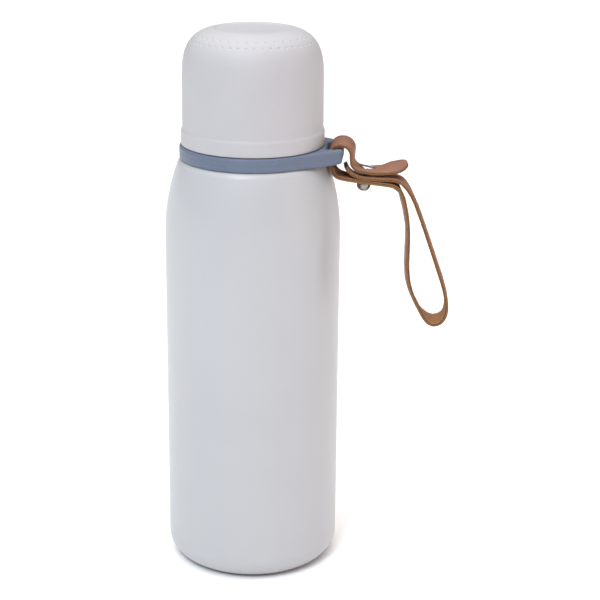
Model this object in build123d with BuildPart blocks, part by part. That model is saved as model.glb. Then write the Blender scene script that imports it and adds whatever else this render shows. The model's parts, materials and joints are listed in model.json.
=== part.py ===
from build123d import *
from math import acos, atan2, cos, hypot, radians, sin, sqrt
import os

os.makedirs("parts", exist_ok=True)

# Insulated water bottle: a double-walled steel flask with a swivelling collar, a leather wrist strap
# that is looped through the collar's tab and held by a snap, a push-button stopper and a cup for a lid.
# Millimetres. +Z is up, the origin is the centre of the base, and the strap points along +X.

# ---------------------------------------------------------------- driving dimensions

# flask
BODY_R = 36.0
BASE_CORNER_R = 9.0
WALL_TOP_Z = 142.0
SHOULDER_ARC_R = 85.0
SHOULDER_TOP_Z = 174.3
SHOULDER_EDGE_R = 4.5
NECK_R = 22.6
NECK_ROOT_R = 0.6
SHELL_T = 0.8
RIM_Z = 190.0
MOUTH_R = 20.0
VESSEL_T = 0.6
VESSEL_INSET = 3.0
VESSEL_FLOOR_Z = 8.0
VESSEL_CORNER_R = 7.0
BASE_HOLE_R = 25.0
DISH_R = 20.8
DISH_Z = 2.4
DISH_BEND = 0.4
PUMP_HOLE_R = 1.5
PUMP_PLUG_R = 3.2
PUMP_PLUG_T = 0.8
PUMP_PIN_R = 1.4
PUMP_PIN_H = 1.4
GETTER_OUT_R = 7.0
GETTER_IN_R = 3.0
GETTER_H = 2.4
FOIL_LOW_Z = 22.0
FOIL_H = 116.0
FOIL_T = 0.2
FOIL_GAP = 0.2

# screw threads: both have two starts and one lead. Each is (depth, width at its root, width at its
# crest, start height, rise), with a negative depth where it points to the axis
LEAD = 8.0
STARTS = 2
THREAD_ROOT_SINK = 0.4
NECK_CUP_THREAD = (1.2, 2.2, 1.2, 182.6, 6.0)
NECK_STOPPER_THREAD = (-1.0, 1.5, 0.8, 181.0, 6.0)
STOPPER_THREAD = (1.1, 1.8, 0.9, 181.0, 5.0)
LINER_THREAD = (-1.1, 1.6, 0.8, 182.6, 4.0)

# plastic ring on the neck
RING_CLEARANCE = 0.05
RING_ROOT_R = 24.6
RING_FLANGE_R = 25.7
RING_LOW_Z = 179.7
RING_FLANGE_T = 1.3
RING_TOP_Z = 192.6
RING_SKIRT_R = 18.6
RING_SKIRT_LOW_Z = 178.0
RING_OUT_EDGE_R = 0.8
RING_IN_EDGE_R = 0.6
LIP_Z = RIM_Z + VESSEL_T
GASKET_T = 0.8
GASKET_W = 1.4
GASKET_MID_R = 21.3
GASKET_GAP = 0.1

# swivelling collar with its tab and slot
COLLAR_R = 29.8
COLLAR_BORE_R = 23.2
COLLAR_LOW_Z = 173.5
COLLAR_TOP_Z = 179.3
COLLAR_EDGE_R = 1.1
COLLAR_GAP = 0.35
TAB_END_X = 36.7
TAB_HALF_W = 9.5
TAB_CORNER_R = 2.5
SLOT_IN_X = 29.8
SLOT_OUT_X = 33.95
SLOT_W = 14.5
SLOT_CORNER_R = 0.8

# leather strap
STRAP_W = 13.5
STRAP_T = 1.6
BAR_X = 35.8
BAR_Z = (COLLAR_LOW_Z + COLLAR_TOP_Z) / 2
WRAP_R = 4.75
WRAP_START_DEG = 195
WRAP_END_DEG = 12
FLAP_PIVOT = (41.42, 172.8)
FLAP_GAP = 0.3
FLAP_TIP_X = 63.2
FLAP_TIP_R = 6.1

# snap fastener
SNAP_X = 46.3
SNAP_Z = 168.85
SNAP_TILT_DEG = 11
SNAP_CAP_R = 3.45
SNAP_CAP_LOW = 2.62
SNAP_CAP_T = 0.9
SNAP_CAP_EDGE_R = 0.7
SNAP_SOCKET_R = 2.6
SNAP_SOCKET_LOW = 0.75
SNAP_SOCKET_T = 1.75
SNAP_CAVITY_R = 1.5
SNAP_CAVITY_T = 1.0
SNAP_HEAD_R = 1.15
SNAP_HEAD_H = 1.4
SNAP_HEAD_EDGE_R = 0.4
SNAP_BASE_R = 2.2
SNAP_BASE_T = 0.8
SNAP_SHANK_R = 1.2
SNAP_SHANK_TOP = -0.85
SNAP_DOME_R = 2.9
SNAP_DOME_TOP = -4.1
SNAP_DOME_H = 3.7
SNAP_DOME_EDGE_R = 2.2
SNAP_LOOSE = 0.1

# stopper
PLUG_R = 17.1
PLUG_T = 1.5
PLUG_LOW_Z = 168.0
PLUG_FLOOR_T = 1.6
PLUG_FLANGE_R = 22.4
PLUG_FLANGE_Z = 194.3
PLUG_TOP_Z = 196.0
FOAM_GAP = 0.2
STOPPER_GASKET_LOW_Z = 192.9
STOPPER_GASKET_TOP_Z = 194.1
STOPPER_GASKET_IN_R = 19.0
STOPPER_GASKET_OUT_R = 22.0
PORT_R = 5.0
TUBE_IN_R = 6.0
TUBE_OUT_R = 7.4
TUBE_TOP_Z = 190.0
TOP_Z = 203.0
TOP_T = 1.5
TOP_EDGE_R = 1.4
HUB_IN_R = 8.6
HUB_OUT_R = 10.0
HUB_LOW_Z = 190.3
FLUTES = 20
FLUTE_R = 2.2
FLUTE_OFFSET = 1.6
CHANNEL_W = 9.0
CHANNEL_H = 3.0
GUIDE_RIM_T = 1.15
GUIDE_ARM_W = 1.6
GUIDE_HUB_T = 1.4
GUIDE_H = 2.4
GUIDE_TOP_Z = TUBE_TOP_Z - 0.6

# push button valve
BUTTON_R = 8.1
BUTTON_TOP_Z = 204.6
BUTTON_LOW_Z = 197.0
BUTTON_T = 1.2
BUTTON_ROOF_T = 1.8
BUTTON_DISH_R = 5.7
BUTTON_DISH_T = 0.6
BUTTON_SOCKET_R = 3.2
BUTTON_SOCKET_LOW_Z = 199.0
STEM_R = 1.6
STEM_LOW_Z = 165.0
STEM_FOOT_R = 3.4
STEM_FOOT_T = 1.3
STEM_FIT = 0.05
STEM_SLIDE = 0.35
SEAL_R = 6.6
SEAL_GAP = 0.3
SPRING_R = 4.2
SPRING_WIRE_R = 0.35
SPRING_TURNS = 6

# drinking cup
CUP_RIM_Z = 179.6
CUP_RIM_R = 29.2
CUP_RIM_EDGE_R = 0.4
CUP_BAND_TOP_Z = 185.4
CUP_BAND_R = 28.95
CUP_BAND_STEP = 0.7
CUP_R = 28.4
CUP_DOME_Z = 208.4
CUP_TOP_Z = 226.4
DOME_FLAT_R = 10.7
DOME_FULLNESS = 0.70
RECESS_R = 14.8
RECESS_Z = 225.5
CUP_T = 1.3
LINER_GAP = 0.1
LINER_ROOT_R = 26.2
LINER_R = 25.4
LINER_LOW_Z = 181.2
LINER_STEP_Z = 191.7
CUP_SEAL_LOW_Z = 190.1
CUP_SEAL_TOP_Z = 191.5
CUP_SEAL_IN_R = 24.9
CUP_SEAL_OUT_R = 26.0


# ---------------------------------------------------------------- shared shapes


def nearest(vertices, x, y):
    """The vertex of a sketch that lies nearest to a point."""
    return vertices.sort_by_distance((x, y, 0))[0]


def rim_at(part, height):
    """The circular edge of a snap piece at a height along the snap's axis."""
    rims = part.edges().filter_by(GeomType.CIRCLE)
    return rims.sort_by_distance(snap_plane.offset(height).origin)[0]


def flask_half(inset, floor_z, corner_r, edge_r, neck_r, rim_z):
    """Half section of the flask, from its axis out to its wall moved inwards by inset."""
    wall_r = BODY_R - inset
    arc_r = SHOULDER_ARC_R - inset
    top_z = SHOULDER_TOP_Z - inset
    top_r = wall_r - arc_r + sqrt(arc_r**2 - (top_z - WALL_TOP_Z) ** 2)
    with BuildSketch() as half:
        with BuildLine():
            Polyline((0, floor_z), (wall_r, floor_z), (wall_r, WALL_TOP_Z))
            RadiusArc((wall_r, WALL_TOP_Z), (top_r, top_z), -arc_r)
            Polyline((top_r, top_z), (neck_r, top_z), (neck_r, rim_z), (0, rim_z), (0, floor_z))
        make_face()
        fillet(nearest(half.vertices(), wall_r, floor_z), corner_r)
        fillet(nearest(half.vertices(), top_r, top_z), edge_r)
        fillet(nearest(half.vertices(), neck_r, top_z), NECK_ROOT_R)
    return half.sketch


def dome_half(wall_r, low_z, dome_z, top_z):
    """Half section of the cup's dome, from its axis out to a wall of radius wall_r."""
    with BuildSketch() as half:
        with BuildLine():
            Polyline((0, low_z), (wall_r, low_z), (wall_r, dome_z))
            Bezier(
                (wall_r, dome_z),
                (wall_r, dome_z + DOME_FULLNESS * (top_z - dome_z)),
                (DOME_FLAT_R + DOME_FULLNESS * (wall_r - DOME_FLAT_R), top_z),
                (DOME_FLAT_R, top_z),
            )
            Polyline((DOME_FLAT_R, top_z), (0, top_z), (0, low_z))
        make_face()
    return half.sketch


def thread_start(root_r, depth, root_w, crest_w, low_z, rise):
    """One ridge of a right-handed thread. A negative depth makes it point to the axis."""
    sink = -THREAD_ROOT_SINK if depth > 0 else THREAD_ROOT_SINK
    with BuildPart() as ridge:
        with BuildLine(Plane.XY.offset(low_z)):
            helix = Helix(pitch=LEAD, height=rise, radius=root_r)
        with BuildSketch(Plane(origin=helix @ 0, x_dir=(1, 0, 0), z_dir=helix % 0)):
            with BuildLine():
                Polyline(
                    (sink, -root_w / 2),
                    (depth, -crest_w / 2),
                    (depth, crest_w / 2),
                    (sink, root_w / 2),
                    close=True,
                )
            make_face()
        sweep(is_frenet=True)
    return ridge.part


def ring_part(low_z, high_z, in_r, out_r, edge_r):
    """A flat ring about the axis with rounded edges."""
    with BuildPart() as ring:
        with BuildSketch(Plane.XY.offset(low_z)):
            Circle(out_r)
            Circle(in_r, mode=Mode.SUBTRACT)
        extrude(amount=high_z - low_z)
        fillet(ring.edges(), edge_r)
    return ring.part


# ---------------------------------------------------------------- flask

# outer steel shell, open at the base for the welded cap and at the neck for the vessel's lip
with BuildPart() as outer_shell:
    with BuildSketch(Plane.XZ):
        add(flask_half(0, 0, BASE_CORNER_R, SHOULDER_EDGE_R, NECK_R, RIM_Z))
        add(
            flask_half(
                SHELL_T,
                SHELL_T,
                BASE_CORNER_R - SHELL_T,
                SHOULDER_EDGE_R - SHELL_T,
                NECK_R - SHELL_T,
                RIM_Z,
            ),
            mode=Mode.SUBTRACT,
        )
        Rectangle(BASE_HOLE_R, 2 * SHELL_T, align=(Align.MIN, Align.CENTER), mode=Mode.SUBTRACT)
    revolve(axis=Axis.Z)
outer_shell.part.label = "outer_shell"

# dished base cap, butt welded inside the shell's foot
with BuildPart() as base_cap:
    with BuildSketch(Plane.XZ):
        with BuildLine():
            Polyline(
                (BASE_HOLE_R, 0),
                (DISH_R + DISH_Z, 0),
                (DISH_R, DISH_Z),
                (PUMP_HOLE_R, DISH_Z),
                (PUMP_HOLE_R, DISH_Z + SHELL_T),
                (DISH_R - DISH_BEND, DISH_Z + SHELL_T),
                (DISH_R + DISH_Z - DISH_BEND, SHELL_T),
                (BASE_HOLE_R, SHELL_T),
                close=True,
            )
        make_face()
    revolve(axis=Axis.Z)
base_cap.part.label = "base_cap"

# plug that closes the hole through which the gap was pumped out
with BuildPart() as vacuum_seal:
    with BuildSketch(Plane.XY.offset(DISH_Z)):
        Circle(PUMP_PLUG_R)
    extrude(amount=-PUMP_PLUG_T)
    with BuildSketch(Plane.XY.offset(DISH_Z)):
        Circle(PUMP_PIN_R)
    extrude(amount=PUMP_PIN_H)
    fillet(vacuum_seal.edges().group_by(Axis.Z)[0], PUMP_PLUG_T / 2)
vacuum_seal.part.label = "vacuum_seal"

# inner steel vessel, with a lip that closes the top of the gap
with BuildPart() as inner_vessel:
    with BuildSketch(Plane.XZ):
        add(
            flask_half(
                VESSEL_INSET,
                VESSEL_FLOOR_Z,
                VESSEL_CORNER_R,
                SHOULDER_EDGE_R - VESSEL_INSET,
                MOUTH_R + VESSEL_T,
                RIM_Z,
            )
        )
        with Locations((0, RIM_Z)):
            Rectangle(NECK_R, VESSEL_T, align=(Align.MIN, Align.MIN))
        add(
            flask_half(
                VESSEL_INSET + VESSEL_T,
                VESSEL_FLOOR_Z + VESSEL_T,
                VESSEL_CORNER_R - VESSEL_T,
                SHOULDER_EDGE_R - VESSEL_INSET - VESSEL_T,
                MOUTH_R,
                LIP_Z,
            ),
            mode=Mode.SUBTRACT,
        )
    revolve(axis=Axis.Z)
inner_vessel.part.label = "inner_vessel"

# getter ring under the vessel's floor, in the gap
with BuildPart() as getter:
    with BuildSketch(Plane.XY.offset(VESSEL_FLOOR_Z)):
        Circle(GETTER_OUT_R)
        Circle(GETTER_IN_R, mode=Mode.SUBTRACT)
    extrude(amount=-GETTER_H)
getter.part.label = "getter"

# copper foil round the vessel, in the gap
with BuildPart() as radiation_shield:
    with BuildSketch(Plane.XY.offset(FOIL_LOW_Z)):
        Circle(BODY_R - VESSEL_INSET + FOIL_GAP + FOIL_T)
        Circle(BODY_R - VESSEL_INSET + FOIL_GAP, mode=Mode.SUBTRACT)
    extrude(amount=FOIL_H)
radiation_shield.part.label = "radiation_shield"

# plastic ring pressed on the neck: outside it carries the cup's thread, inside the stopper's
with BuildPart() as neck_ring:
    with BuildSketch(Plane.XZ) as neck_section:
        with BuildLine():
            Polyline(
                (NECK_R + RING_CLEARANCE, RING_LOW_Z),
                (RING_FLANGE_R, RING_LOW_Z),
                (RING_FLANGE_R, RING_LOW_Z + RING_FLANGE_T),
                (RING_ROOT_R, RING_LOW_Z + RING_FLANGE_T),
                (RING_ROOT_R, RING_TOP_Z),
                (RING_SKIRT_R, RING_TOP_Z),
                (RING_SKIRT_R, RING_SKIRT_LOW_Z),
                (MOUTH_R - RING_CLEARANCE, RING_SKIRT_LOW_Z),
                (MOUTH_R - RING_CLEARANCE, LIP_Z),
                (NECK_R + RING_CLEARANCE, LIP_Z),
                close=True,
            )
        make_face()
        with Locations((GASKET_MID_R, LIP_Z)):
            Rectangle(
                GASKET_W + 2 * GASKET_GAP,
                GASKET_T + GASKET_GAP,
                align=(Align.CENTER, Align.MIN),
                mode=Mode.SUBTRACT,
            )
        fillet(nearest(neck_section.vertices(), RING_ROOT_R, RING_TOP_Z), RING_OUT_EDGE_R)
        fillet(nearest(neck_section.vertices(), RING_SKIRT_R, RING_TOP_Z), RING_IN_EDGE_R)
    revolve(axis=Axis.Z)
    with PolarLocations(0, STARTS):
        add(thread_start(RING_ROOT_R, *NECK_CUP_THREAD))
        add(thread_start(RING_SKIRT_R, *NECK_STOPPER_THREAD))
neck_ring.part.label = "neck_ring"

# gasket between the steel lip and the neck ring
neck_gasket = ring_part(
    LIP_Z, LIP_Z + GASKET_T, GASKET_MID_R - GASKET_W / 2, GASKET_MID_R + GASKET_W / 2, 0.2
)
neck_gasket.label = "neck_gasket"

# ---------------------------------------------------------------- collar

# the collar turns on the neck, above the shoulder and under the neck ring's flange. The sides of its
# tab are tangents to the ring
tab_angle = atan2(TAB_HALF_W, TAB_END_X) + acos(COLLAR_R / hypot(TAB_END_X, TAB_HALF_W))
tab_root = Vector(cos(tab_angle), sin(tab_angle)) * COLLAR_R
with BuildPart() as collar_ring:
    with BuildSketch(Plane.XY.offset(COLLAR_LOW_Z)) as collar_plan:
        with BuildLine():
            Polyline(
                (tab_root.X, -tab_root.Y),
                (TAB_END_X, -TAB_HALF_W),
                (TAB_END_X, TAB_HALF_W),
                (tab_root.X, tab_root.Y),
            )
            ThreePointArc((tab_root.X, tab_root.Y), (-COLLAR_R, 0), (tab_root.X, -tab_root.Y))
        make_face()
        tab_corners = collar_plan.vertices().group_by(Axis.X)[-1]
        fillet(tab_corners, TAB_CORNER_R)
        with Locations(((SLOT_IN_X + SLOT_OUT_X) / 2, 0)):
            RectangleRounded(SLOT_OUT_X - SLOT_IN_X, SLOT_W, SLOT_CORNER_R, mode=Mode.SUBTRACT)
    extrude(amount=COLLAR_TOP_Z - COLLAR_LOW_Z)
    collar_rims = collar_ring.edges().group_by(Axis.Z)
    fillet(collar_rims[0] + collar_rims[-1], COLLAR_EDGE_R)
    with BuildSketch(Plane.XZ):
        with BuildLine():
            edge_x = BODY_R - SHOULDER_ARC_R + sqrt(
                (SHOULDER_ARC_R - SHOULDER_EDGE_R) ** 2
                - (SHOULDER_TOP_Z - SHOULDER_EDGE_R - WALL_TOP_Z) ** 2
            )
            edge_z = SHOULDER_TOP_Z - SHOULDER_EDGE_R
            gap_r = SHOULDER_EDGE_R + COLLAR_GAP
            Line((edge_x + gap_r, edge_z), (0, edge_z))
            Line((0, edge_z), (0, COLLAR_TOP_Z))
            Line((0, COLLAR_TOP_Z), (COLLAR_BORE_R, COLLAR_TOP_Z))
            Line((COLLAR_BORE_R, COLLAR_TOP_Z), (COLLAR_BORE_R, edge_z + gap_r))
            Line((COLLAR_BORE_R, edge_z + gap_r), (edge_x, edge_z + gap_r))
            CenterArc((edge_x, edge_z), gap_r, 0, 90)
        make_face()
    revolve(axis=Axis.Z, mode=Mode.SUBTRACT)
collar_ring.part.label = "collar_ring"

# ---------------------------------------------------------------- strap

bar = Vector(BAR_X, BAR_Z)
pivot = Vector(*FLAP_PIVOT)


def on_wrap(angle):
    """A point of the strap's middle line where it wraps round the tab's bar."""
    return bar + Vector(cos(radians(angle)), sin(radians(angle))) * WRAP_R


# corners of the middle line, from the cut end under the flap, out, down and round the hand loop,
# and back to the tab's slot, each with the radius of its bend
LOOP_CORNERS = [
    ((43.4, 168.1), 4),
    ((59.3, 167.7), 6),
    ((65.4, 160.2), 8),
    ((80.2, 119.5), 20),
    ((80.7, 106.4), 4.4),
    ((73.0, 106.4), 4.4),
    ((64.2, 122.2), 25),
    ((64.1, 146.0), 40),
    ((61.9, 160.2), 8),
    ((58.9, 164.55), 5),
    ((33.33, 167.26), 2.5),
]
LOOP_START = (38.4, 172.3)
FLAP_CORNERS = [((43.2, 171.0), 3), ((49.0, 169.9), 8), ((57.3, 170.75), 12)]
FLAP_TIP = (62.6, 173.3)

snap_plane = Plane(
    origin=(SNAP_X, 0, SNAP_Z),
    x_dir=(cos(radians(SNAP_TILT_DEG)), 0, -sin(radians(SNAP_TILT_DEG))),
    z_dir=(sin(radians(SNAP_TILT_DEG)), 0, cos(radians(SNAP_TILT_DEG))),
)

# hand loop: both strands, and the turn round the tab's bar
with BuildPart() as strap_loop:
    with BuildSketch(Plane.XZ):
        with BuildLine():
            FilletPolyline(
                LOOP_START,
                *[corner for corner, radius in LOOP_CORNERS],
                on_wrap(WRAP_START_DEG),
                radius=[radius for corner, radius in LOOP_CORNERS],
            )
            ThreePointArc(on_wrap(WRAP_START_DEG), on_wrap(90), on_wrap(WRAP_END_DEG))
            to_pivot = pivot - on_wrap(WRAP_END_DEG)
            Line(on_wrap(WRAP_END_DEG), pivot - to_pivot.normalized() * (STRAP_T + FLAP_GAP))
            offset(amount=STRAP_T / 2, side=Side.BOTH)
        make_face()
    extrude(amount=STRAP_W / 2, both=True)
    with BuildSketch(snap_plane):
        Circle(SNAP_BASE_R + SNAP_LOOSE)
    extrude(amount=SNAP_BASE_T + SNAP_LOOSE, both=True, mode=Mode.SUBTRACT)
    with BuildSketch(snap_plane):
        Circle(SNAP_SHANK_R + SNAP_LOOSE)
    extrude(amount=-(SNAP_DOME_H + 2 * STRAP_T), mode=Mode.SUBTRACT)
strap_loop.part.label = "strap_loop"

# flap: the strap's other end, which folds over the bar and snaps down on the loop
with BuildPart() as strap_flap:
    with BuildSketch(Plane.XZ):
        with BuildLine():
            FilletPolyline(
                FLAP_PIVOT,
                *[corner for corner, radius in FLAP_CORNERS],
                FLAP_TIP,
                radius=[radius for corner, radius in FLAP_CORNERS],
            )
            offset(amount=STRAP_T / 2, side=Side.BOTH)
        make_face()
    extrude(amount=STRAP_W / 2, both=True)
    with BuildSketch(Plane.XY) as flap_plan:
        with Locations((FLAP_TIP_X, 0)):
            Rectangle(FLAP_TIP_X, STRAP_W, align=(Align.MAX, Align.CENTER))
        fillet(flap_plan.vertices().group_by(Axis.X)[-1], FLAP_TIP_R)
    extrude(amount=CUP_TOP_Z, mode=Mode.INTERSECT)
    with BuildSketch(snap_plane):
        Circle(SNAP_SOCKET_R + SNAP_LOOSE)
    extrude(amount=SNAP_CAP_LOW + STRAP_T, mode=Mode.SUBTRACT)
strap_flap.part.label = "strap_flap"

# snap cap on the flap's top face, with its rivet pin
with BuildPart() as snap_cap:
    with BuildSketch(snap_plane.offset(SNAP_CAP_LOW)):
        Circle(SNAP_CAP_R)
    extrude(amount=SNAP_CAP_T)
    fillet(rim_at(snap_cap, SNAP_CAP_LOW + SNAP_CAP_T), SNAP_CAP_EDGE_R)
snap_cap.part.label = "snap_cap"

# spring socket in the flap, open towards the stud
with BuildPart() as snap_socket:
    with BuildSketch(snap_plane.offset(SNAP_SOCKET_LOW)):
        Circle(SNAP_SOCKET_R)
    extrude(amount=SNAP_SOCKET_T)
    with BuildSketch(snap_plane.offset(SNAP_SOCKET_LOW)):
        Circle(SNAP_CAVITY_R)
    extrude(amount=SNAP_CAVITY_T, mode=Mode.SUBTRACT)
snap_socket.part.label = "snap_socket"

# stud on the strap, with its head in the socket
with BuildPart() as snap_stud:
    with BuildSketch(snap_plane):
        Circle(SNAP_BASE_R)
    extrude(amount=-SNAP_BASE_T)
    with BuildSketch(snap_plane):
        Circle(SNAP_HEAD_R)
    extrude(amount=SNAP_HEAD_H)
    fillet(rim_at(snap_stud, SNAP_HEAD_H), SNAP_HEAD_EDGE_R)
snap_stud.part.label = "snap_stud"

# domed post under the strap, with its shank up to the stud
with BuildPart() as snap_post:
    with BuildSketch(snap_plane.offset(SNAP_SHANK_TOP)):
        Circle(SNAP_SHANK_R)
    extrude(amount=SNAP_DOME_TOP - SNAP_SHANK_TOP)
    with BuildSketch(snap_plane.offset(SNAP_DOME_TOP)):
        Circle(SNAP_DOME_R)
    extrude(amount=-SNAP_DOME_H)
    fillet(rim_at(snap_post, SNAP_DOME_TOP - SNAP_DOME_H), SNAP_DOME_EDGE_R)
snap_post.part.label = "snap_post"

# ---------------------------------------------------------------- stopper

# plug with the stopper's thread, a floor with the pouring port, and a tube for the valve stem
with BuildPart() as stopper_body:
    with BuildSketch(Plane.XZ) as plug_section:
        with BuildLine():
            Polyline(
                (PORT_R, PLUG_LOW_Z),
                (PLUG_R, PLUG_LOW_Z),
                (PLUG_R, PLUG_FLANGE_Z),
                (PLUG_FLANGE_R, PLUG_FLANGE_Z),
                (PLUG_FLANGE_R, PLUG_TOP_Z),
                (PLUG_R - PLUG_T, PLUG_TOP_Z),
                (PLUG_R - PLUG_T, PLUG_LOW_Z + PLUG_FLOOR_T),
                (TUBE_OUT_R, PLUG_LOW_Z + PLUG_FLOOR_T),
                (TUBE_OUT_R, TUBE_TOP_Z),
                (TUBE_IN_R, TUBE_TOP_Z),
                (TUBE_IN_R, PLUG_LOW_Z + PLUG_FLOOR_T),
                (PORT_R, PLUG_LOW_Z + PLUG_FLOOR_T),
                close=True,
            )
        make_face()
        fillet(nearest(plug_section.vertices(), PLUG_R, PLUG_LOW_Z), 1)
    revolve(axis=Axis.Z)
    with PolarLocations(0, STARTS, start_angle=90):
        add(thread_start(PLUG_R, *STOPPER_THREAD))
stopper_body.part.label = "stopper_body"

# foam inside the plug
stopper_insulation = ring_part(
    PLUG_LOW_Z + PLUG_FLOOR_T + FOAM_GAP,
    TUBE_TOP_Z - FOAM_GAP,
    TUBE_OUT_R + FOAM_GAP,
    PLUG_R - PLUG_T - FOAM_GAP,
    0.5,
)
stopper_insulation.label = "stopper_insulation"

# sealing ring under the plug's flange
stopper_gasket = ring_part(
    STOPPER_GASKET_LOW_Z, STOPPER_GASKET_TOP_Z, STOPPER_GASKET_IN_R, STOPPER_GASKET_OUT_R, 0.3
)
stopper_gasket.label = "stopper_gasket"

# fluted cover with a hub round the button and a pouring channel out through its side
with BuildPart() as stopper_top:
    with BuildSketch(Plane.XZ) as top_section:
        with BuildLine():
            Polyline(
                (HUB_OUT_R, HUB_LOW_Z),
                (HUB_OUT_R, TOP_Z - TOP_T),
                (PLUG_FLANGE_R - TOP_T, TOP_Z - TOP_T),
                (PLUG_FLANGE_R - TOP_T, PLUG_TOP_Z),
                (PLUG_FLANGE_R, PLUG_TOP_Z),
                (PLUG_FLANGE_R, TOP_Z),
                (HUB_IN_R, TOP_Z),
                (HUB_IN_R, HUB_LOW_Z),
                close=True,
            )
        make_face()
        fillet(nearest(top_section.vertices(), PLUG_FLANGE_R, TOP_Z), TOP_EDGE_R)
        fillet(nearest(top_section.vertices(), HUB_IN_R, TOP_Z), 0.4)
    revolve(axis=Axis.Z)
    with BuildSketch(Plane.XY.offset(PLUG_TOP_Z + 1)):
        with PolarLocations(PLUG_FLANGE_R + FLUTE_OFFSET, FLUTES):
            Circle(FLUTE_R)
    extrude(amount=TOP_Z - PLUG_TOP_Z, mode=Mode.SUBTRACT)
    with BuildSketch(Plane.YZ):
        with Locations((0, PLUG_TOP_Z + 1 + CHANNEL_H / 2)):
            RectangleRounded(CHANNEL_W, CHANNEL_H, 1)
    extrude(amount=-PLUG_FLANGE_R - TOP_T, mode=Mode.SUBTRACT)
stopper_top.part.label = "stopper_top"

# spider in the top of the tube, which guides the stem and seats the spring
with BuildPart() as valve_guide:
    with BuildSketch(Plane.XY.offset(GUIDE_TOP_Z)):
        Circle(TUBE_IN_R - STEM_FIT)
        Circle(TUBE_IN_R - STEM_FIT - GUIDE_RIM_T, mode=Mode.SUBTRACT)
        with PolarLocations(0, 3):
            Rectangle(TUBE_IN_R - GUIDE_RIM_T / 2, GUIDE_ARM_W, align=(Align.MIN, Align.CENTER))
        Circle(STEM_R + GUIDE_HUB_T)
        Circle(STEM_R + STEM_SLIDE, mode=Mode.SUBTRACT)
    extrude(amount=-GUIDE_H)
valve_guide.part.label = "valve_guide"

# ---------------------------------------------------------------- push button valve

# button cap with a socket for the stem
with BuildPart() as valve_button:
    with BuildSketch(Plane.XZ) as button_section:
        with BuildLine():
            Polyline(
                (0, BUTTON_TOP_Z - BUTTON_DISH_T),
                (BUTTON_DISH_R, BUTTON_TOP_Z),
                (BUTTON_R, BUTTON_TOP_Z),
                (BUTTON_R, BUTTON_LOW_Z),
                (BUTTON_R - BUTTON_T, BUTTON_LOW_Z),
                (BUTTON_R - BUTTON_T, BUTTON_TOP_Z - BUTTON_ROOF_T),
                (BUTTON_SOCKET_R, BUTTON_TOP_Z - BUTTON_ROOF_T),
                (BUTTON_SOCKET_R, BUTTON_SOCKET_LOW_Z),
                (STEM_R + STEM_FIT, BUTTON_SOCKET_LOW_Z),
                (STEM_R + STEM_FIT, BUTTON_TOP_Z - BUTTON_ROOF_T),
                (0, BUTTON_TOP_Z - BUTTON_ROOF_T),
                close=True,
            )
        make_face()
        fillet(nearest(button_section.vertices(), BUTTON_R, BUTTON_TOP_Z), 0.8)
    revolve(axis=Axis.Z)
valve_button.part.label = "valve_button"

# stem with a foot that carries the seal
with BuildPart() as valve_stem:
    with BuildSketch(Plane.XY.offset(STEM_LOW_Z)):
        Circle(STEM_FOOT_R)
    extrude(amount=STEM_FOOT_T)
    with BuildSketch(Plane.XY.offset(STEM_LOW_Z)):
        Circle(STEM_R)
    extrude(amount=BUTTON_TOP_Z - BUTTON_ROOF_T - STEM_LOW_Z)
    fillet(valve_stem.edges().group_by(Axis.Z)[0], 0.5)
valve_stem.part.label = "valve_stem"

# seal that closes the port from below
valve_seal = ring_part(
    STEM_LOW_Z + STEM_FOOT_T, PLUG_LOW_Z - SEAL_GAP, STEM_R + STEM_FIT, SEAL_R, 0.4
)
valve_seal.label = "valve_seal"

# spring between the spider and the button
spring_low_z = GUIDE_TOP_Z + SPRING_WIRE_R
spring_high_z = BUTTON_TOP_Z - BUTTON_ROOF_T - SPRING_WIRE_R
with BuildPart() as valve_spring:
    with BuildLine(Plane.XY.offset(spring_low_z)):
        coil = Helix(
            pitch=(spring_high_z - spring_low_z) / SPRING_TURNS,
            height=spring_high_z - spring_low_z,
            radius=SPRING_R,
        )
    with BuildSketch(Plane(origin=coil @ 0, z_dir=coil % 0)):
        Circle(SPRING_WIRE_R)
    sweep(is_frenet=True)
valve_spring.part.label = "valve_spring"

# ---------------------------------------------------------------- drinking cup

# outer cup: a flared band at the rim, a straight wall, a full dome and a recess in its top
with BuildPart() as cup_shell:
    with BuildSketch(Plane.XZ) as cup_section:
        add(dome_half(CUP_R, CUP_RIM_Z, CUP_DOME_Z, CUP_TOP_Z))
        with BuildLine():
            Polyline(
                (CUP_R - CUP_T / 2, CUP_RIM_Z),
                (CUP_RIM_R, CUP_RIM_Z),
                (CUP_BAND_R, CUP_BAND_TOP_Z),
                (CUP_R, CUP_BAND_TOP_Z + CUP_BAND_STEP),
                (CUP_R - CUP_T / 2, CUP_BAND_TOP_Z + CUP_BAND_STEP),
                close=True,
            )
        make_face()
        fillet(nearest(cup_section.vertices(), CUP_RIM_R, CUP_RIM_Z), CUP_RIM_EDGE_R)
        add(
            dome_half(CUP_R - CUP_T, CUP_RIM_Z, CUP_DOME_Z, RECESS_Z - CUP_T),
            mode=Mode.SUBTRACT,
        )
        with Locations((0, RECESS_Z)):
            Rectangle(RECESS_R, CUP_T, align=(Align.MIN, Align.MIN), mode=Mode.SUBTRACT)
    revolve(axis=Axis.Z)
cup_shell.part.label = "cup_shell"

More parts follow.
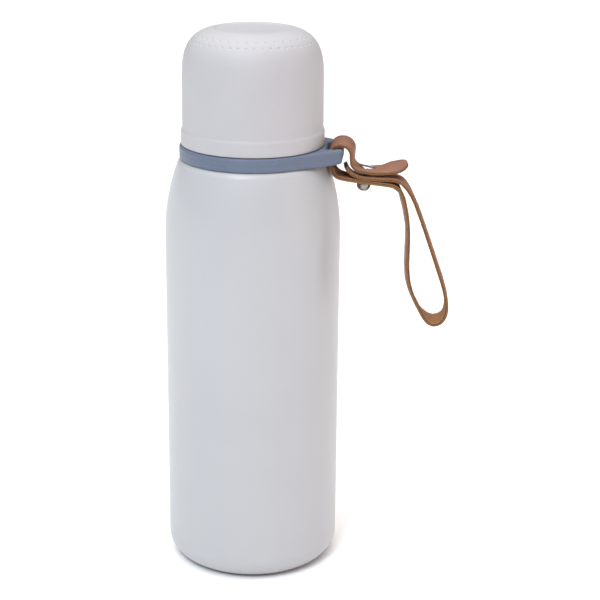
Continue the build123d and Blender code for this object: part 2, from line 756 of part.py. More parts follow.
# liner: the cup's inside, with the cup's thread and a step that holds the seal ring
with BuildPart() as cup_liner:
    liner_out_r = CUP_R - CUP_T - LINER_GAP
    liner_top_z = RECESS_Z - CUP_T - LINER_GAP
    liner_t = liner_out_r - LINER_R
    with BuildSketch(Plane.XZ):
        add(dome_half(liner_out_r, LINER_LOW_Z, CUP_DOME_Z, liner_top_z))
        add(
            dome_half(LINER_R, LINER_LOW_Z, CUP_DOME_Z, liner_top_z - liner_t),
            mode=Mode.SUBTRACT,
        )
        with Locations((0, LINER_LOW_Z)):
            Rectangle(
                LINER_ROOT_R,
                LINER_STEP_Z - LINER_LOW_Z,
                align=(Align.MIN, Align.MIN),
                mode=Mode.SUBTRACT,
            )
    revolve(axis=Axis.Z)
    with PolarLocations(0, STARTS, start_angle=90):
        add(thread_start(LINER_ROOT_R, *LINER_THREAD))
cup_liner.part.label = "cup_liner"

# seal ring under the liner's step
cup_seal_ring = ring_part(CUP_SEAL_LOW_Z, CUP_SEAL_TOP_Z, CUP_SEAL_IN_R, CUP_SEAL_OUT_R, 0.3)
cup_seal_ring.label = "cup_seal_ring"

# ---------------------------------------------------------------- one file for each piece

pieces = [
    outer_shell.part,
    base_cap.part,
    vacuum_seal.part,
    inner_vessel.part,
    getter.part,
    radiation_shield.part,
    neck_ring.part,
    neck_gasket,
    collar_ring.part,
    strap_loop.part,
    strap_flap.part,
    snap_cap.part,
    snap_socket.part,
    snap_stud.part,
    snap_post.part,
    stopper_body.part,
    stopper_insulation,
    stopper_gasket,
    stopper_top.part,
    valve_guide.part,
    valve_button.part,
    valve_stem.part,
    valve_seal,
    valve_spring.part,
    cup_shell.part,
    cup_liner.part,
    cup_seal_ring,
]
for piece in pieces:
    export_step(piece, f"parts/{piece.label}.step")
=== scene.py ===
import json
from math import cos, hypot, pi, radians, sin, sqrt

import bmesh
import bpy
from mathutils import Matrix, Vector, noise


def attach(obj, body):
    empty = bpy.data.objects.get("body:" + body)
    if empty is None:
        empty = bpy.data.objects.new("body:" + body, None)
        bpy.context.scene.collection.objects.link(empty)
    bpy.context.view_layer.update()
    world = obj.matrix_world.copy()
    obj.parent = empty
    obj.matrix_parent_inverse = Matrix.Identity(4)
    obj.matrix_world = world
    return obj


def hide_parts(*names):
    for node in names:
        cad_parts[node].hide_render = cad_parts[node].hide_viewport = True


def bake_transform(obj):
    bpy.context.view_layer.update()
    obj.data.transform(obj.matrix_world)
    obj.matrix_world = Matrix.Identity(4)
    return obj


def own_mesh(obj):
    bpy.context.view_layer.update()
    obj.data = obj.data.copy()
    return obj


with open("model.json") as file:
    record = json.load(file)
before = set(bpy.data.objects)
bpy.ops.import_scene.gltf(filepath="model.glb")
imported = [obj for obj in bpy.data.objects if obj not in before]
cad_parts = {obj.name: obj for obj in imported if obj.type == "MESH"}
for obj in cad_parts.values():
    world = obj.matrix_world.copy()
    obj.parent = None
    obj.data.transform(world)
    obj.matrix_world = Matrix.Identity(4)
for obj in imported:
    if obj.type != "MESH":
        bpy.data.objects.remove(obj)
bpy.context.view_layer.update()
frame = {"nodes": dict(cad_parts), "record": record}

# Looks of an insulated water bottle. Metres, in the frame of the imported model: +Z is up, the origin is
# the centre of the base, and the strap points along +X. Profiles are written in millimetres.

MM = 0.001

# ---------------------------------------------------------------- camera, light and floor

CAMERA_PLACE = (0.07027, -0.63786, 0.32187)
CAMERA_PITCH = 0.3154
CAMERA_YAW = 0.0790
CAMERA_ROLL = -0.0101
CAMERA_LENS = 96.86

SKY_COLOUR = (1.0, 0.985, 0.975)
SKY_HORIZON = 0.03
SKY_ZENITH = 3.15
SKY_POWER = 3
FLOOR_R = 8
FLOOR_SEGMENTS = 96

# name, place, what it is aimed at, size, power and colour
LIGHTS = [
    ("key", (-0.42, -1.3, 1.65), (0, 0, 0.11), (0.6, 0.9), 21.0, (0.80, 0.89, 1.0)),
    ("warm_right", (1.3, -0.5, 0.35), (0, 0, 0.12), (0.8, 0.8), 2.2, (1.0, 0.46, 0.26)),
]


def make_camera():
    data = bpy.data.cameras.new("camera")
    data.lens = CAMERA_LENS
    camera = bpy.data.objects.new("camera", data)
    bpy.context.scene.collection.objects.link(camera)
    turn = Matrix.Rotation(CAMERA_YAW, 4, "Z")
    tilt = Matrix.Rotation(pi / 2 - CAMERA_PITCH, 4, "X")
    roll = Matrix.Rotation(-CAMERA_ROLL, 4, "Z")
    camera.matrix_world = Matrix.Translation(CAMERA_PLACE) @ turn @ tilt @ roll
    bpy.context.scene.camera = camera


def make_light(name, place, aim, size, power, colour):
    data = bpy.data.lights.new(name, "AREA")
    data.shape = "RECTANGLE"
    data.size, data.size_y = size
    data.energy = power
    data.color = colour
    light = bpy.data.objects.new(name, data)
    light.location = place
    light.rotation_euler = (Vector(aim) - Vector(place)).to_track_quat("-Z", "Y").to_euler()
    bpy.context.scene.collection.objects.link(light)


def make_world():
    """A soft overhead sky: its strength grows with a power of the height above the horizon."""
    world = bpy.data.worlds.new("studio")
    world.use_nodes = True
    nodes, links = world.node_tree.nodes, world.node_tree.links
    aim = nodes.new("ShaderNodeTexCoord")
    split = nodes.new("ShaderNodeSeparateXYZ")
    links.new(aim.outputs["Generated"], split.inputs["Vector"])
    above = nodes.new("ShaderNodeMath")
    above.operation = "MAXIMUM"
    above.inputs[1].default_value = 0
    links.new(split.outputs["Z"], above.inputs[0])
    rise = nodes.new("ShaderNodeMath")
    rise.operation = "POWER"
    rise.inputs[1].default_value = SKY_POWER
    links.new(above.outputs[0], rise.inputs[0])
    strength = nodes.new("ShaderNodeMapRange")
    strength.inputs["To Min"].default_value = SKY_HORIZON
    strength.inputs["To Max"].default_value = SKY_ZENITH
    links.new(rise.outputs[0], strength.inputs["Value"])
    background = nodes["Background"]
    background.inputs["Color"].default_value = (*SKY_COLOUR, 1)
    links.new(strength.outputs["Result"], background.inputs["Strength"])
    bpy.context.scene.world = world


def make_floor(material):
    mesh = bpy.data.meshes.new("floor")
    work = bmesh.new()
    bmesh.ops.create_circle(work, cap_ends=True, segments=FLOOR_SEGMENTS, radius=FLOOR_R)
    work.to_mesh(mesh)
    work.free()
    floor = bpy.data.objects.new("floor", mesh)
    bpy.context.scene.collection.objects.link(floor)
    mesh.materials.append(material)


# ---------------------------------------------------------------- materials

COLLAR_MID_Z = 0.1764
PARTING_HALF_W = 0.0002
# places of a Mix node's colour sockets among its inputs and outputs
MIX_FIRST = 6
MIX_SECOND = 7
MIX_RESULT = 2


class Surface:
    """A Principled material whose colour, roughness and bump come from procedural nodes."""

    def __init__(self, name, **constants):
        self.material = bpy.data.materials.new(name)
        self.material.use_nodes = True
        self.nodes = self.material.node_tree.nodes
        self.links = self.material.node_tree.links
        self.shader = self.nodes["Principled BSDF"]
        self.place = self.nodes.new("ShaderNodeTexCoord").outputs["Object"]
        for socket, value in constants.items():
            self.shader.inputs[socket.replace("_", " ")].default_value = value

    def feed(self, socket, value):
        """Links a socket to another node's output, or sets it to a colour or a number."""
        if isinstance(value, bpy.types.NodeSocket):
            self.links.new(value, socket)
        elif isinstance(value, tuple):
            socket.default_value = (*value, 1)
        else:
            socket.default_value = value

    def stretch(self, x, y, z):
        """The object's coordinates, scaled by a different amount along each axis."""
        node = self.nodes.new("ShaderNodeMapping")
        node.inputs["Scale"].default_value = (x, y, z)
        self.links.new(self.place, node.inputs["Vector"])
        return node.outputs["Vector"]

    def height(self):
        node = self.nodes.new("ShaderNodeSeparateXYZ")
        self.links.new(self.place, node.inputs["Vector"])
        return node.outputs["Z"]

    def noise(self, scale, detail=3, rough=0.5, place=None):
        node = self.nodes.new("ShaderNodeTexNoise")
        node.inputs["Scale"].default_value = scale
        node.inputs["Detail"].default_value = detail
        node.inputs["Roughness"].default_value = rough
        self.links.new(place or self.place, node.inputs["Vector"])
        return node.outputs["Fac"]

    def cells(self, scale, feature="DISTANCE_TO_EDGE", place=None):
        node = self.nodes.new("ShaderNodeTexVoronoi")
        node.feature = feature
        node.inputs["Scale"].default_value = scale
        self.links.new(place or self.place, node.inputs["Vector"])
        return node.outputs["Distance"]

    def ramp(self, value, *stops):
        """Colours along a value. Each stop is (position, (r, g, b))."""
        node = self.nodes.new("ShaderNodeValToRGB")
        ramp = node.color_ramp
        for _ in stops[2:]:
            ramp.elements.new(0.5)
        for element, (position, colour) in zip(ramp.elements, stops):
            element.position = position
            element.color = (*colour, 1)
        self.links.new(value, node.inputs["Fac"])
        return node.outputs["Color"]

    def level(self, value, low, high, start=0.0, end=1.0):
        """A value moved from start..end to low..high."""
        node = self.nodes.new("ShaderNodeMapRange")
        node.inputs["From Min"].default_value = start
        node.inputs["From Max"].default_value = end
        node.inputs["To Min"].default_value = low
        node.inputs["To Max"].default_value = high
        self.links.new(value, node.inputs["Value"])
        return node.outputs["Result"]

    def mix(self, share, first, second, how="MIX"):
        node = self.nodes.new("ShaderNodeMix")
        node.data_type = "RGBA"
        node.blend_type = how
        self.feed(node.inputs["Factor"], share)
        self.feed(node.inputs[MIX_FIRST], first)
        self.feed(node.inputs[MIX_SECOND], second)
        return node.outputs[MIX_RESULT]

    def total(self, first, second, how="ADD"):
        node = self.nodes.new("ShaderNodeMath")
        node.operation = how
        self.feed(node.inputs[0], first)
        self.feed(node.inputs[1], second)
        return node.outputs[0]

    def colour(self, value):
        self.links.new(value, self.shader.inputs["Base Color"])

    def roughness(self, value):
        self.links.new(value, self.shader.inputs["Roughness"])

    def bump(self, height, strength, distance):
        node = self.nodes.new("ShaderNodeBump")
        node.inputs["Strength"].default_value = strength
        node.inputs["Distance"].default_value = distance
        self.links.new(height, node.inputs["Height"])
        self.links.new(node.outputs["Normal"], self.shader.inputs["Normal"])


def white_paint():
    """Satin powder coat: faint orange peel and a little unevenness of tone."""
    s = Surface("white_paint", Coat_Weight=0.15, Coat_Roughness=0.2, Specular_IOR_Level=0.5)
    tone = s.noise(18, 2)
    s.colour(s.ramp(tone, (0.3, (0.441, 0.450, 0.466)), (0.7, (0.461, 0.469, 0.484))))
    peel = s.noise(1300, 2, 0.45)
    s.roughness(s.level(s.noise(240, 3), 0.34, 0.44))
    s.bump(peel, 0.10, 0.0004)
    return s.material


def white_plastic():
    """Moulded white plastic with a fine spark-eroded texture."""
    s = Surface("white_plastic", Specular_IOR_Level=0.45, Subsurface_Weight=0.04, Subsurface_Scale=0.002)
    s.colour(s.ramp(s.noise(30, 2), (0.3, (0.440, 0.435, 0.450)), (0.7, (0.462, 0.456, 0.470))))
    s.roughness(s.level(s.noise(500, 3), 0.46, 0.58))
    s.bump(s.noise(2600, 2), 0.12, 0.0003)
    return s.material


def pale_plastic():
    s = Surface("pale_plastic", Specular_IOR_Level=0.5)
    s.colour(s.ramp(s.noise(40, 2), (0.3, (0.56, 0.57, 0.59)), (0.7, (0.61, 0.62, 0.64))))
    s.roughness(s.level(s.noise(420, 3), 0.36, 0.5))
    s.bump(s.noise(1800, 2), 0.1, 0.0003)
    return s.material


def grey_plastic():
    s = Surface("grey_plastic", Specular_IOR_Level=0.5)
    s.colour(s.ramp(s.noise(45, 3), (0.3, (0.20, 0.22, 0.26)), (0.7, (0.235, 0.255, 0.295))))
    s.roughness(s.level(s.noise(500, 3), 0.42, 0.58))
    s.bump(s.noise(2400, 2), 0.16, 0.0003)
    return s.material


def collar_silicone():
    """Slate-blue silicone: matte, a little dusty, with a fine skin."""
    s = Surface("collar_silicone", Specular_IOR_Level=0.4, Sheen_Weight=0.15, Sheen_Roughness=0.5)
    cloud = s.noise(70, 4, 0.6)
    dust = s.ramp(s.noise(900, 2), (0.62, (0, 0, 0)), (0.72, (1, 1, 1)))
    base = s.ramp(cloud, (0.3, (0.105, 0.135, 0.200)), (0.7, (0.130, 0.160, 0.226)))
    s.colour(s.mix(s.level(dust, 0, 0.10), base, (0.42, 0.46, 0.54)))
    s.roughness(s.level(cloud, 0.5, 0.66))
    away = s.total(s.total(s.height(), COLLAR_MID_Z, "SUBTRACT"), 0.0, "ABSOLUTE")
    parting = s.level(away, 1.0, 0.0, 0.0, PARTING_HALF_W)
    s.bump(s.total(parting, s.total(s.noise(1500, 3), 0.25, "MULTIPLY")), 0.5, 0.0002)
    return s.material


def seal_silicone():
    s = Surface("seal_silicone", Specular_IOR_Level=0.5, Subsurface_Weight=0.2, Subsurface_Scale=0.003)
    s.colour(s.ramp(s.noise(60, 2), (0.3, (0.52, 0.53, 0.55)), (0.7, (0.60, 0.61, 0.63))))
    s.roughness(s.level(s.noise(300, 2), 0.3, 0.42))
    s.bump(s.noise(900, 2), 0.08, 0.0003)
    return s.material


def steel():
    """Turned steel: fine rings round the bottle's axis."""
    s = Surface("steel", Metallic=1.0, Anisotropic=0.4)
    rings = s.noise(1, 3, 0.6, s.stretch(25, 25, 3500))
    s.colour(s.ramp(rings, (0.3, (0.50, 0.49, 0.48)), (0.7, (0.64, 0.63, 0.62))))
    s.roughness(s.level(rings, 0.2, 0.38))
    s.bump(rings, 0.12, 0.0002)
    return s.material


def nickel(name, dull, bright):
    """Polished nickel with hairline scratches and slightly tarnished patches."""
    s = Surface(name, Metallic=1.0)
    scratches = s.noise(1, 2, 0.6, s.stretch(300, 6500, 900))
    tarnish = s.noise(420, 3)
    s.colour(s.ramp(tarnish, (0.32, dull), (0.62, bright)))
    s.roughness(s.level(scratches, 0.1, 0.26, 0.35, 0.7))
    s.bump(scratches, 0.1, 0.0001)
    return s.material


def copper_foil():
    s = Surface("copper_foil", Metallic=1.0)
    creases = s.cells(140)
    s.colour(s.ramp(s.noise(90, 3), (0.3, (0.66, 0.33, 0.20)), (0.7, (0.80, 0.45, 0.30))))
    s.roughness(s.level(s.noise(200, 2), 0.22, 0.4))
    s.bump(creases, 0.35, 0.0004)
    return s.material


def foam():
    s = Surface("foam", Specular_IOR_Level=0.2)
    pores = s.cells(700, "F1")
    s.colour(s.ramp(pores, (0.1, (0.52, 0.47, 0.36)), (0.55, (0.74, 0.69, 0.57))))
    s.roughness(s.level(pores, 0.85, 0.95))
    s.bump(pores, 0.6, 0.0006)
    return s.material


def leather_grain():
    """Dyed face of the strap: pebbled grain, cloudy dye, paler where it is rubbed."""
    s = Surface("leather_grain", Specular_IOR_Level=0.35)
    cloud = s.noise(110, 4, 0.6)
    pebbles = s.cells(1500)
    pores = s.noise(4200, 3, 0.6)
    dark, middle, rubbed = (0.216, 0.094, 0.058), (0.262, 0.119, 0.075), (0.316, 0.152, 0.098)
    dye = s.ramp(cloud, (0.25, dark), (0.5, middle), (0.78, rubbed))
    lines = s.ramp(pebbles, (0.0, (0.16, 0.078, 0.05)), (0.09, (1, 1, 1)))
    s.colour(s.mix(0.35, dye, lines, "MULTIPLY"))
    s.roughness(s.level(cloud, 0.44, 0.60))
    s.bump(s.total(s.level(pebbles, 0, 1, 0, 0.25), s.total(pores, 0.5, "MULTIPLY")), 0.35, 0.0002)
    return s.material


def leather_flesh():
    """Suede-like inner face."""
    s = Surface("leather_flesh", Specular_IOR_Level=0.15, Sheen_Weight=0.08, Sheen_Roughness=0.6)
    nap = s.noise(2800, 4, 0.7)
    cloud = s.noise(160, 3)
    base = s.ramp(cloud, (0.3, (0.300, 0.138, 0.056)), (0.7, (0.370, 0.176, 0.074)))
    s.colour(s.mix(s.level(nap, 0, 0.5, 0.35, 0.75), base, (0.46, 0.25, 0.118)))
    s.roughness(s.level(nap, 0.78, 0.95))
    s.bump(nap, 0.55, 0.0003)
    return s.material


def leather_edge():
    """Cut edge: raw fibres in ochre, with painted shade darkening the pits."""
    s = Surface("leather_edge", Specular_IOR_Level=0.3)
    fibres = s.noise(1800, 4, 0.65)
    cloud = s.noise(260, 3)
    # the darkest stop is painted shade in the pits of the fibres
    pit_shade, ochre, pale = (0.120, 0.052, 0.017), (0.215, 0.102, 0.036), (0.31, 0.165, 0.066)
    base = s.ramp(fibres, (0.30, pit_shade), (0.50, ochre), (0.75, pale))
    s.colour(s.mix(s.level(cloud, 0.0, 0.45, 0.35, 0.8), base, (0.29, 0.142, 0.052)))
    s.roughness(s.level(fibres, 0.62, 0.82))
    s.bump(fibres, 0.6, 0.0003)
    return s.material


def leather_seam_and_end_shade():
    """Dark glue line between the strap's two layers, and painted shade on its cut ends."""
    s = Surface("leather_seam_and_end_shade", Specular_IOR_Level=0.3)
    fibres = s.noise(2200, 3, 0.6)
    s.colour(s.ramp(fibres, (0.3, (0.060, 0.024, 0.012)), (0.7, (0.135, 0.060, 0.028))))
    s.roughness(s.level(fibres, 0.5, 0.75))
    s.bump(fibres, 0.4, 0.0003)
    return s.material


def pale_floor():
    s = Surface("pale_floor", Specular_IOR_Level=0.1)
    s.colour(s.ramp(s.noise(3, 2), (0.3, (0.955, 0.955, 0.955)), (0.7, (0.97, 0.97, 0.97))))
    s.roughness(s.level(s.noise(8, 2), 0.85, 0.95))
    return s.material


# ---------------------------------------------------------------- mesh helpers

ON_AXIS = 1e-6


def new_piece(name, work, materials, smooth_angle=35):
    """An object from a bmesh, with its sharp edges kept sharp."""
    bmesh.ops.recalc_face_normals(work, faces=work.faces)
    for face in work.faces:
        face.smooth = True
    for edge in work.edges:
        if len(edge.link_faces) == 2 and edge.calc_face_angle() > radians(smooth_angle):
            edge.smooth = False
    mesh = bpy.data.meshes.new(name)
    work.to_mesh(mesh)
    work.free()
    for material in materials:
        mesh.materials.append(material)
    piece = bpy.data.objects.new(name, mesh)
    bpy.context.scene.collection.objects.link(piece)
    return piece


def lathe(profile, segments, dent=None):
    """A closed turned bmesh about Z. profile is a loop of (r, z) in mm that starts and ends on the axis,
    and dent moves a point inwards along the profile's normal by some mm."""
    work = bmesh.new()
    rings = []
    for index, (r, z) in enumerate(profile):
        if r < ON_AXIS:
            rings.append([work.verts.new((0, 0, z * MM))])
            continue
        before, after = profile[index - 1], profile[(index + 1) % len(profile)]
        along = Vector((after[0] - before[0], after[1] - before[1]))
        out = Vector((along.y, -along.x)).normalized() if along.length > 0 else Vector((1, 0))
        ring = []
        for step in range(segments):
            angle = 2 * pi * step / segments
            depth = dent(r, z, angle) if dent else 0
            radius = r - out.x * depth
            height = z - out.y * depth
            ring.append(work.verts.new((radius * cos(angle) * MM, radius * sin(angle) * MM, height * MM)))
        rings.append(ring)
    for first, second in zip(rings, rings[1:]):
        for step in range(segments):
            after = (step + 1) % segments
            if len(first) == 1:
                work.faces.new((first[0], second[after], second[step]))
            elif len(second) == 1:
                work.faces.new((first[step], first[after], second[0]))
            else:
                work.faces.new((first[step], first[after], second[after], second[step]))
    return work


def bezier(points, steps):
    """Points along a cubic curve, without its first."""
    (ax, ay), (bx, by), (cx, cy), (dx, dy) = points
    made = []
    for step in range(1, steps + 1):
        t = step / steps
        u = 1 - t
        made.append(
            (
                u**3 * ax + 3 * u * u * t * bx + 3 * u * t * t * cx + t**3 * dx,
                u**3 * ay + 3 * u * u * t * by + 3 * u * t * t * cy + t**3 * dy,
            )
        )
    return made


def through(points, step):
    """Points about step apart on a smooth curve through the given points."""
    made = []
    padded = [2 * points[0] - points[1], *points, 2 * points[-1] - points[-2]]
    for p0, p1, p2, p3 in zip(padded, padded[1:], padded[2:], padded[3:]):
        knots = [0.0]
        for a, b in ((p0, p1), (p1, p2), (p2, p3)):
            knots.append(knots[-1] + sqrt((b - a).length))
        count = max(2, round((p2 - p1).length / step))
        for index in range(count):
            t = knots[1] + (knots[2] - knots[1]) * index / count
            a1 = p0.lerp(p1, t / knots[1])
            a2 = p1.lerp(p2, (t - knots[1]) / (knots[2] - knots[1]))
            a3 = p2.lerp(p3, (t - knots[2]) / (knots[3] - knots[2]))
            b1 = a1.lerp(a2, t / knots[2])
            b2 = a2.lerp(a3, (t - knots[1]) / (knots[3] - knots[1]))
            made.append(b1.lerp(b2, (t - knots[1]) / (knots[2] - knots[1])))
    made.append(points[-1].copy())
    return made


# ---------------------------------------------------------------- cup

CUP_R = 28.4
CUP_RIM_Z = 179.6
CUP_DOME_Z = 208.4
CUP_TOP_Z = 226.4
CUP_WALL = 1.3
DOME_FLAT_R = 10.7
DOME_FULLNESS = 0.7
RECESS_R = 15.4
RECESS_Z = 225.5
RECESS_MARGIN = 0.5
RIM_CHAMFER = 0.25
CUP_SEGMENTS = 720
DOME_STEPS = 110
DOME_INNER_STEPS = 14
DIMPLE_R = 0.75
DIMPLE_DEPTH = 0.28
DIMPLES_FROM_R = RECESS_R + 2
SLOPE_STEPS = 200
# radius on the dome, number round the cup and turn of the first, in dimple spacings
DIMPLE_ROWS = [(24.9, 48, 0.0), (22.7, 38, 0.5)]
# the flared band at the rim, its step, and the slightly tapered wall: (radius, height above the rim)
CUP_OUTSIDE = [
    (28.85, 0),
    (29.08, 0.1),
    (29.2, 0.4),
    (29.18, 1.2),
    (29.12, 2.2),
    (29.06, 3.4),
    (29.05, 4.5),
    (29.08, 5.2),
    (29.05, 5.55),
    (28.94, 5.85),
    (28.70, 6.2),
    (28.54, 6.5),
    (28.48, 6.9),
    (28.49, 7.6),
    (28.53, 8.8),
    (28.52, 12),
    (28.46, 20),
]
# edge of the recess, out from its radius: its lip, with heights from the dome's end, and its foot, with
# heights from the recess's floor
RECESS_LIP = [(0.35, 0), (0.1, -0.06), (-0.05, -0.2)]
RECESS_FOOT = [(-0.2, 0.25), (-0.45, 0.06), (-0.9, 0), (-4, 0)]


def dome_curve(wall_r, dome_z, top_z, steps):
    reach = wall_r - DOME_FLAT_R
    rise = top_z - dome_z
    handles = [
        (wall_r, dome_z),
        (wall_r, dome_z + DOME_FULLNESS * rise),
        (DOME_FLAT_R + DOME_FULLNESS * reach, top_z),
        (DOME_FLAT_R, top_z),
    ]
    return bezier(handles, steps)


def dimple(r, z, angle):
    """Depth of the dome's dimples at a point of its wall."""
    if z < CUP_DOME_Z or r < DIMPLES_FROM_R:
        return 0
    depth = 0
    for row_r, count, turn in DIMPLE_ROWS:
        spacing = 2 * pi / count
        across = ((angle / spacing - turn + 0.5) % 1 - 0.5) * spacing * r
        along = (r - row_r) / DIMPLE_SLOPE[row_r]
        away = hypot(across, along) / DIMPLE_R
        if away < 1:
            depth += DIMPLE_DEPTH * (1 - away * away) ** 2
    return depth


def slope_share(row_r):
    """Share of a step along the dome that shows as a change of radius, where a dimple row lies."""
    curve = dome_curve(CUP_R, CUP_DOME_Z, CUP_TOP_Z, SLOPE_STEPS)
    near = min(range(1, len(curve)), key=lambda i: abs(curve[i][0] - row_r))
    step = Vector(curve[near]) - Vector(curve[near - 1])
    return abs(step.x) / step.length


DIMPLE_SLOPE = {row[0]: slope_share(row[0]) for row in DIMPLE_ROWS}


def make_cup(material):
    outside = [
        (0, RECESS_Z - CUP_WALL),
        *reversed(dome_curve(CUP_R - CUP_WALL, CUP_DOME_Z, RECESS_Z - CUP_WALL, DOME_INNER_STEPS)),
        (CUP_R - CUP_WALL, CUP_DOME_Z),
        (CUP_R - CUP_WALL, CUP_RIM_Z + RIM_CHAMFER),
        (CUP_R - CUP_WALL + RIM_CHAMFER, CUP_RIM_Z),
        *((r, CUP_RIM_Z + up) for r, up in CUP_OUTSIDE),
        (CUP_R, CUP_DOME_Z),
    ]
    curve = dome_curve(CUP_R, CUP_DOME_Z, CUP_TOP_Z, DOME_STEPS)
    dome = [point for point in curve if point[0] > RECESS_R + RECESS_MARGIN]
    lip_z = dome[-1][1]
    recess = [
        *((RECESS_R + out, lip_z + up) for out, up in RECESS_LIP),
        *((RECESS_R + out, RECESS_Z + up) for out, up in RECESS_FOOT),
        (0, RECESS_Z),
    ]
    work = lathe([*outside, *dome, *recess], CUP_SEGMENTS, dimple)
    cup = new_piece("cup", work, [material])
    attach(cup, "cup")
    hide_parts("cup_shell")


# ---------------------------------------------------------------- snap

SNAP_PLACE = Vector((46.3, 0, 168.85)) * MM
SNAP_LEAN = radians(11)
SNAP_ROLL = radians(-4)
SNAP_SEGMENTS = 96
# how far along the snap's axis its upper pieces and its post are moved to bear on the leather
UPPER_SHIFT = -0.45
POST_SHIFT = -0.3
# each piece's section, as (radius, height along the snap's axis)
CAP_SECTION = [
    (0, 2.76),
    (0.9, 2.75),
    (1.7, 2.68),
    (2.15, 2.56),
    (2.35, 2.43),
    (2.5, 2.41),
    (2.65, 2.5),
    (2.85, 2.6),
    (3.05, 2.61),
    (3.25, 2.54),
    (3.38, 2.4),
    (3.44, 2.24),
    (3.4, 2.14),
    (3.25, 2.1),
    (0, 2.1),
]
SOCKET_SECTION = [
    (0, 0.85),
    (1.25, 0.85),
    (1.35, 0.5),
    (1.5, 0.38),
    (1.8, 0.32),
    (2.2, 0.3),
    (2.5, 0.36),
    (2.6, 0.55),
    (2.6, 1.2),
    (0, 1.2),
]
POST_SECTION = [
    (0, -0.85),
    (1.05, -0.85),
    (1.2, -1.0),
    (1.2, -4.1),
    (2.7, -4.1),
    (2.86, -4.2),
    (2.92, -4.4),
    (2.9, -5.2),
    (2.8, -5.9),
    (2.55, -6.6),
    (2.1, -7.15),
    (1.5, -7.55),
    (0.8, -7.75),
    (0, -7.8),
]


def snap_piece(name, section, shift, body, node, material):
    piece = new_piece(name, lathe(section, SNAP_SEGMENTS), [material])
    turn = Matrix.Rotation(SNAP_LEAN, 4, "Y") @ Matrix.Rotation(SNAP_ROLL, 4, "X")
    piece.matrix_world = Matrix.Translation(SNAP_PLACE) @ turn @ Matrix.Translation((0, 0, shift * MM))
    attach(piece, body)
    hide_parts(node)


def make_snap(bright, dark):
    snap_piece("snap_cap_turned", CAP_SECTION, UPPER_SHIFT, "flap", "snap_cap", bright)
    snap_piece("snap_socket_turned", SOCKET_SECTION, UPPER_SHIFT, "flap", "snap_socket", bright)
    # the post takes the darkened nickel, a painted reflection of the dark leather
    snap_piece("snap_post_turned", POST_SECTION, POST_SHIFT, "strap", "snap_post", dark)


# ---------------------------------------------------------------- strap

STRAP_HALF_W = 6.75
STRAP_STEP = 0.7
# centre of the strap's turn over the tab's bar
BAR = Vector((36.1, 0, 176.35))
WRAP_R = 4.3
WRAP_DEGREES = range(194, 12, -7)
STRAP_SMOOTH_ANGLE = 50
# the section keeps its shape this far in from its edge where the strip narrows
EDGE_ZONE = 2
TIP_MIN_HALF_W = 0.6
# where the sections of the round tip lie, back from its end
TIP_REACH = 2.5
TIP_STEPS = (1.9, 1.35, 0.9, 0.55, 0.3, 0.12, 0.03)
# unevenness of the faces and of the cut edges: waves per mm, and height in mm
FACE_WAVES_ALONG = 0.35
FACE_WAVES_ACROSS = 0.5
FACE_WANDER = 0.05
EDGE_WAVES = 0.9
EDGE_WANDER = 0.09
# where in the noise the cut edges are read, so that each wanders in its own way
EDGE_ROW = 7.0
RIGHT_EDGE_ROW = 3.0
LEFT_EDGE_ROW = 9.0
GRAIN, FLESH, EDGE, SEAM_AND_END_SHADE = range(4)

# half of the strap's section, from the middle of its dyed face round the cut edge to the middle of its
# inner face: distance out from the cut edge (negative is inwards), height from the middle of the
# thickness, and the material of the stretch that follows
HALF_SECTION = [
    (-6.75, 0.80, GRAIN),
    (-4.6, 0.80, GRAIN),
    (-2.6, 0.80, GRAIN),
    (-1.2, 0.79, GRAIN),
    (-0.5, 0.76, GRAIN),
    (-0.2, 0.68, GRAIN),
    (-0.05, 0.52, EDGE),
    (0.0, 0.30, EDGE),
    (0.0, 0.06, EDGE),
    (-0.02, -0.10, SEAM_AND_END_SHADE),
    (-0.10, -0.22, SEAM_AND_END_SHADE),
    (-0.02, -0.36, EDGE),
    (0.0, -0.52, EDGE),
    (-0.07, -0.70, FLESH),
    (-0.3, -0.79, FLESH),
    (-0.9, -0.80, FLESH),
    (-2.6, -0.80, FLESH),
    (-4.6, -0.80, FLESH),
    (-6.75, -0.80, FLESH),
]

# front edge of the hand loop, from the cut end under the flap out, round and back to the slot: (x, z)
LOOP_LINE = [
    (38.4, 171.8),
    (39.6, 170.1),
    (41.4, 168.8),
    (44.0, 167.85),
    (48.0, 167.4),
    (52.3, 167.2),
    (56.0, 167.15),
    (58.9, 166.75),
    (61.2, 165.5),
    (63.6, 162.9),
    (65.7, 159.4),
    (68.6, 152.4),
    (72.4, 142.0),
    (76.2, 131.1),
    (79.1, 122.5),
    (80.3, 117.2),
    (80.6, 112.8),
    (79.8, 109.3),
    (78.0, 107.1),
    (75.7, 106.35),
    (73.5, 107.0),
    (71.6, 109.2),
    (69.5, 112.9),
    (67.3, 117.2),
    (65.5, 122.0),
    (64.5, 126.8),
    (64.1, 132.0),
    (64.1, 144.5),
    (63.5, 151.0),
    (62.5, 156.6),
    (61.5, 160.2),
    (59.8, 162.8),
    (57.2, 164.4),
    (53.5, 165.0),
    (48.1, 165.6),
    (42.0, 166.25),
    (37.5, 166.85),
    (34.9, 167.5),
    (33.5, 168.7),
    (32.75, 170.3),
    (32.0, 172.6),
    (31.75, 174.9),
]

# front edge of the flap, from where it leaves the bar to its tip
FLAP_LINE = [
    (40.5, 174.0),
    (41.0, 172.4),
    (42.2, 171.15),
    (44.3, 170.4),
    (46.6, 170.0),
    (49.3, 169.75),
    (52.4, 169.75),
    (55.4, 169.95),
    (58.3, 170.25),
    (60.9, 170.75),
    (63.3, 171.5),
]

